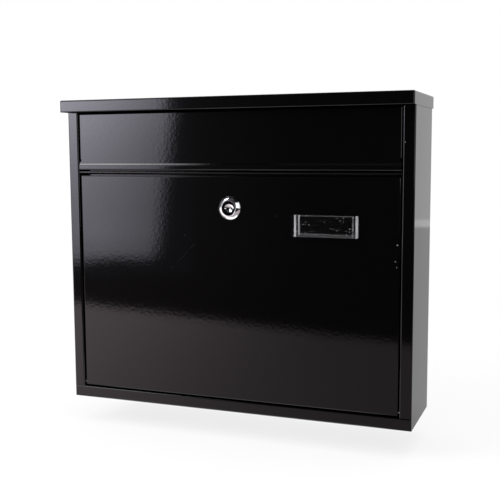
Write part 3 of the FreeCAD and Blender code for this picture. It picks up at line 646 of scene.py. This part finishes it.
class PaintSheets(bpy.types.Operator):
    """Coat the folded sheets of the case, the flap and the door"""

    bl_idname = "letter_box.paint_sheets"
    bl_label = "Paint the Sheets"

    def execute(self, context):
        paint = scene_settings().paint
        gloss, dull = paint.roughness, paint.inner_roughness
        case = powder_coat("case_black_coat", paint, gloss, CASE_SPECKS)
        finish_nodes(SHEET_NODES, case)
        door = powder_coat("door_black_coat", paint, gloss, DOOR_SPECKS, DOOR_SCRATCH)
        finish_nodes(DOOR_NODES, door)
        inner = powder_coat("inner_black_coat", paint, dull, CASE_SPECKS, grime=NOSE_GRIME)
        finish_nodes(INNER_NODES, inner)
        return {"FINISHED"}


class PlateHardware(bpy.types.Operator):
    """Plate the pins and the lock's hidden hardware with zinc"""

    bl_idname = "letter_box.plate_hardware"
    bl_label = "Plate the Hardware"

    def execute(self, context):
        metal = scene_settings().metal
        zinc = bright_metal("zinc_plate", metal.zinc_colour, metal.zinc_roughness, ZINC_SMEAR)
        finish_nodes(ZINC_NODES, zinc)
        return {"FINISHED"}


class ChromeLock(bpy.types.Operator):
    """Plate the lock's head and plug with chrome"""

    bl_idname = "letter_box.chrome_lock"
    bl_label = "Chrome the Lock"

    def execute(self, context):
        metal = scene_settings().metal
        chrome = bright_metal(
            LOCK_CHROME, metal.chrome_colour, metal.chrome_roughness, CHROME_SMEAR,
            metal.recess_shade_colour,
        )
        finish_nodes(CHROME_NODES, chrome)
        return {"FINISHED"}


class CutThread(bpy.types.Operator):
    """Wind the thread round the lock's barrel behind its nut, and cut it at the barrel's flats"""

    bl_idname = "letter_box.cut_thread"
    bl_label = "Cut the Barrel Thread"

    def execute(self, context):
        thread = scene_settings().thread
        depth = thread.crest_radius - thread.root_radius
        deselect_all()
        bpy.ops.mesh.primitive_circle_add(
            vertices=3, radius=depth * 2 / 3, fill_type="NOTHING",
            location=(LOCK_AXIS[0], thread.start - thread.pitch, LOCK_AXIS[2]),
            rotation=(0.0, 0.0, math.radians(-90.0)),
        )
        ridge = context.object
        ridge.name = "barrel_thread"
        bpy.ops.object.transform_apply(location=False, rotation=True, scale=False)
        bpy.ops.object.mode_set(mode="EDIT")
        bpy.ops.mesh.select_all(action="SELECT")
        foot = depth * 2 / math.sqrt(3.0)
        widen = (1.0, thread.pitch * RIDGE_SHARE / foot, 1.0)
        bpy.ops.transform.resize(value=widen, center_override=ridge.location)
        bpy.ops.transform.translate(value=(thread.root_radius + depth / 3, 0.0, 0.0))
        bpy.ops.object.mode_set(mode="OBJECT")
        winding = ridge.modifiers.new("winding", "SCREW")
        winding.axis = "Y"
        winding.screw_offset = thread.pitch
        winding.iterations = math.ceil((thread.end - thread.start) / thread.pitch) + 2
        winding.steps = winding.render_steps = RIDGE_STEPS
        bpy.ops.object.modifier_apply(modifier=winding.name)
        bpy.ops.object.transform_apply(location=True, rotation=False, scale=False)
        bpy.ops.object.mode_set(mode="EDIT")
        cuts = (
            ((0.0, thread.start, 0.0), OUTWARDS), ((0.0, thread.end, 0.0), INWARDS),
            ((thread.flat_distance, 0.0, 0.0), RIGHT), ((-thread.flat_distance, 0.0, 0.0), LEFT),
        )
        for place, outwards in cuts:
            bpy.ops.mesh.select_all(action="SELECT")
            bpy.ops.mesh.bisect(plane_co=place, plane_no=outwards, use_fill=True, clear_outer=True)
        bpy.ops.mesh.select_all(action="SELECT")
        bpy.ops.mesh.normals_make_consistent(inside=False)
        bpy.ops.object.mode_set(mode="OBJECT")
        bpy.ops.object.shade_smooth_by_angle(angle=RIDGE_CREASE)
        ridge.data.materials.append(bpy.data.materials[LOCK_CHROME])
        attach(ridge, "door")
        return {"FINISHED"}


class GlazeWindow(bpy.types.Operator):
    """Give the name window its clear plastic"""

    bl_idname = "letter_box.glaze_window"
    bl_label = "Glaze the Name Window"

    def execute(self, context):
        finish_nodes(WINDOW_NODES, clear_plastic("clear_window", scene_settings().window))
        return {"FINISHED"}


def deselect_all():
    """Leave nothing selected."""
    bpy.ops.object.select_all(action="DESELECT")


def upright(start, end, low, high):
    """Corners of an upright panel over a line on the floor."""
    return ((*start, low), (*end, low), (*end, high), (*start, high))


def flat(start, end, height):
    """Corners of a level panel between two opposite corners."""
    return (
        (start[0], start[1], height), (end[0], start[1], height),
        (end[0], end[1], height), (start[0], end[1], height),
    )


def stage_panel(name, corners, material):
    """A flat four-cornered studio panel."""
    deselect_all()
    bpy.ops.mesh.primitive_plane_add(size=1.0)
    panel = bpy.context.object
    panel.name = name
    order = (0, 1, 3, 2)
    for index, corner in zip(order, corners):
        panel.data.vertices[index].co = corner
    panel.data.materials.append(material)
    return panel


def show_in_gloss_only(panel):
    """Let a studio panel show in reflections and through glass alone."""
    panel.visible_camera = False
    panel.visible_diffuse = False
    panel.visible_shadow = False
    panel.visible_volume_scatter = False


def floor_material(stage):
    """Pale floor that keeps the shadow near the box and fades to white far from it."""
    material, nodes = new_material("studio_floor")
    away = nodes.vectors("LENGTH", nodes.place(), output="Value")
    white = lifted(nodes.smooth(away, *FLOOR_FADE), FLOOR_WHITE)
    glow = nodes.emission(opaque(WHITE), 1.0)
    nodes.finish(nodes.mix(white * nodes.seen(), nodes.matt(stage.floor_colour), glow))
    return material


def glow_card(name, corners, colour, glow):
    """A studio panel that glows in reflections alone, by a number or by its place."""
    material, nodes = new_material(name)
    if callable(glow):
        level, colour = glow(nodes, nodes.place(), colour)
        nodes.finish(nodes.emission(nodes.scaled(colour, level), 1.0))
    else:
        nodes.finish(nodes.emission(opaque(colour), glow))
    show_in_gloss_only(stage_panel(name, corners, material))


def softbox_glow(nodes, place, colour):
    """Softbox cloth: brightest at the upper left, with soft right and lower edges."""
    across = nodes.along(place, SOFTBOX_ACROSS, SOFTBOX_START)
    height = nodes.along(place, UP)
    level, rise, curve, top = 4.7, 9.7, 76.0, 0.22
    capped = nodes.maths("MINIMUM", height, top)
    upward = level + capped * rise + capped * capped * curve
    middle, fall = 0.8, 3.7
    far_left = 1.07 + height * 1.1
    sideways = nodes.maths("MINIMUM", middle - across * fall, far_left)
    leaning_edge = 0.09 + height * 0.12
    edge = nodes.smooth(leaning_edge - across, -0.010, 0.027)
    foot = nodes.smooth(height, -0.136, -0.1) * lifted(nodes.smooth(height, -0.1, -0.06), 0.8)
    head = nodes.smooth(height, 0.34, 0.26)
    spill = 0.14
    return upward * sideways * edge * foot * head + spill, colour


def lamp_glow(nodes, place, colour):
    """Upper lamp: full at its upper left, fading out to the right and dim at its foot."""
    full = 10.5
    sideways = nodes.smooth(nodes.along(place, RIGHT), -0.56, -0.86)
    upward = nodes.smooth(nodes.along(place, UP), 0.75, 1.05)
    return sideways * lifted(upward, 0.1) * full, colour


def front_glow(nodes, place, colour):
    """Dark front of the room, with some spill from the softbox at its left."""
    dark, most_spill = 0.03, 0.12
    spill = nodes.smooth(nodes.along(place, RIGHT), -0.3, -1.0)
    return dark + spill * most_spill, colour


def floor_glow(nodes, place, colour):
    """Paper on the floor: brighter to the softbox and under the front, dark past its edge."""
    sideways = nodes.along(place, RIGHT)
    inwards = nodes.along(place, INWARDS)
    towards_softbox = sideways - inwards * 0.27
    near = nodes.smooth(towards_softbox, 0.318, -0.347)
    dim = nodes.smooth(towards_softbox, 0.2, -0.75)
    bare_floor = 0.03 + dim * 0.15
    from_edge = nodes.along(place, (-0.24, 1.0, 0.0), (-0.519, -0.7235, 0.0))
    paper = nodes.smooth(from_edge, -0.022, 0.055)
    front = 0.49 + near * near * nodes.smooth(inwards, -0.11, -0.16) * 1.5
    behind = nodes.smooth(inwards, 0.005, 0.116)
    back = 0.58
    close = nodes.smooth(inwards, -0.17, -0.14)
    under = nodes.smooth(sideways, 0.16, 0.12) * nodes.smooth(sideways, -0.19, -0.15)
    foot = close * (1.0 - behind) * under
    most_foot = 2.2
    level = bare_floor + paper * (front + behind * (back - front)) + foot * most_foot
    neutral = (0.92, 0.92, 0.92)
    return level, nodes.blend(close, opaque(colour), opaque(neutral))


def room_light(stage):
    """White room for what the camera, metal and glass see, softer for the light it gives."""
    world = bpy.data.worlds.new("studio_room")
    world.use_nodes = True
    bpy.context.scene.world = world
    nodes = Nodes(world.node_tree)
    level = nodes.scaled(WHITE, lifted(nodes.seen(), stage.sky))
    sky = nodes.node("ShaderNodeBackground", None, {"Color": level, "Strength": 1.0})
    nodes.finish(sky, "ShaderNodeOutputWorld")


def area_light(name, place, target, size, power):
    """A soft lamp at a place, turned to a target, that leaves no mirror image."""
    deselect_all()
    aim = (Vector(target) - Vector(place)).to_track_quat("-Z", "Y")
    bpy.ops.object.light_add(type="AREA", location=place, rotation=aim.to_euler())
    lamp = bpy.context.object
    lamp.name = name
    lamp.data.shape = "RECTANGLE"
    lamp.data.size, lamp.data.size_y = size
    lamp.data.energy = power
    lamp.visible_glossy = False
    lamp.visible_transmission = False
    lamp.visible_camera = False


def studio_camera(stage):
    """Camera at the photograph's viewing angle."""
    yaw, pitch, roll = stage.camera_yaw, stage.camera_pitch, stage.camera_roll
    level = math.cos(pitch)
    ahead = Vector((-math.sin(yaw) * level, math.cos(yaw) * level, -math.sin(pitch)))
    right = Vector((math.cos(yaw), math.sin(yaw), 0.0))
    up = right.cross(ahead)
    rolled_right = math.cos(roll) * right + math.sin(roll) * up
    rolled_up = math.cos(roll) * up - math.sin(roll) * right
    axes = Matrix((rolled_right, rolled_up, -ahead)).transposed()
    deselect_all()
    bpy.ops.object.camera_add(location=stage.camera_place, rotation=axes.to_euler())
    camera = bpy.context.object
    camera.data.sensor_width = SENSOR
    camera.data.lens = stage.focal_pixels / PHOTO_SIDE * SENSOR
    bpy.context.scene.camera = camera


def studio_cards():
    """Name, corners, colour and glow of each card round the box."""
    front_left, front_right = (-ROOM_SIDE, ROOM_FRONT), (ROOM_SIDE, ROOM_FRONT)
    back_left, back_right = (-ROOM_SIDE, ROOM_BACK), (ROOM_SIDE, ROOM_BACK)
    front = upright(front_left, front_right, BASE_Z, ROOM_TOP)
    roof = flat(front_left, (ROOM_SIDE, 0.3), ROOM_TOP)
    floor = flat((-ROOM_SIDE, -1.9), back_right, FLOOR_Z + FLOOR_CARD_LIFT)
    left = upright(front_left, back_left, BASE_Z, ROOM_TOP)
    right = upright((0.62, -1.22), (1.12, -0.66), 0.02, 0.85)
    strip = upright((-1.30, -0.36), (-1.24, -0.56), -0.10, 0.05)
    top = flat((-0.5, -1.25), (0.35, -0.75), 1.5)
    lamp = upright((-1.15, -0.58), (-0.62, -0.67), 0.45, 1.7)
    back = upright(back_left, back_right, BASE_Z, ROOM_TOP)
    softbox = upright((-0.85, -0.663), (-0.44, -0.955), BASE_Z, 1.3)
    return (
        ("front_card", front, (1.0, 0.97, 1.05), front_glow),
        ("roof_card", roof, WHITE, 0.008),
        ("floor_card", floor, (1.0, 0.87, 0.9), floor_glow),
        ("left_card", left, WHITE, 0.2),
        ("right_card", right, WHITE, 1.9),
        ("left_strip", strip, WHITE, 2.5),
        ("top_card", top, WHITE, 0.12),
        ("left_lamp", lamp, (1.0, 0.98, 1.02), lamp_glow),
        ("back_card", back, WHITE, 0.76),
        ("softbox", softbox, (0.94, 0.91, 1.05), softbox_glow),
    )


class SetStage(bpy.types.Operator):
    """Lay the floor, hang the cards and the softbox, and set the lamps and the camera"""

    bl_idname = "letter_box.set_stage"
    bl_label = "Set the Stage"

    def execute(self, context):
        stage = scene_settings().stage
        whole_floor = flat((-FLOOR_HALF, -FLOOR_HALF), (FLOOR_HALF, FLOOR_HALF), FLOOR_Z)
        stage_panel("studio_floor", whole_floor, floor_material(stage))
        for card in studio_cards():
            glow_card(*card)
        area_light("key_lamp", (-1.2, -1.0, 0.9), ORIGIN, (1.0, 1.0), 22.0)
        area_light("top_lamp", (0.3, -0.2, 1.6), (0.0, 0.0, -0.1), (1.6, 1.6), 16.0)
        room_light(stage)
        studio_camera(stage)
        context.scene.view_settings.view_transform = "Standard"
        return {"FINISHED"}


class LetterBoxPanel(bpy.types.Panel):
    """Settings and steps of the letter box"""

    bl_idname = "VIEW3D_PT_letter_box"
    bl_label = "Letter Box"
    bl_space_type = "VIEW_3D"
    bl_region_type = "UI"
    bl_category = "Letter Box"

    def draw(self, context):
        settings = context.scene.letter_box
        for part in LetterBoxSettings.__annotations__:
            group = getattr(settings, part)
            box = self.layout.box()
            for key in group.__annotations__:
                box.prop(group, key)
        for step in STEPS:
            self.layout.operator(step.bl_idname)


STEPS = (PaintSheets, PlateHardware, ChromeLock, CutThread, GlazeWindow, SetStage)
CLASSES = (
    PaintSettings, MetalSettings, WindowSettings, ThreadSettings, StageSettings,
    LetterBoxSettings, *STEPS, LetterBoxPanel,
)


def register():
    """Register the classes and hang the settings on the scene."""
    for item in CLASSES:
        bpy.utils.register_class(item)
    bpy.types.Scene.letter_box = bpy.props.PointerProperty(type=LetterBoxSettings)


def unregister():
    """Take the settings and the classes away again."""
    del bpy.types.Scene.letter_box
    for item in reversed(CLASSES):
        bpy.utils.unregister_class(item)


def main():
    """Dress the letter box step by step."""
    register()
    bpy.ops.letter_box.paint_sheets()
    bpy.ops.letter_box.plate_hardware()
    bpy.ops.letter_box.chrome_lock()
    bpy.ops.letter_box.cut_thread()
    bpy.ops.letter_box.glaze_window()
    bpy.ops.letter_box.set_stage()


if __name__ == "__main__":
    main()
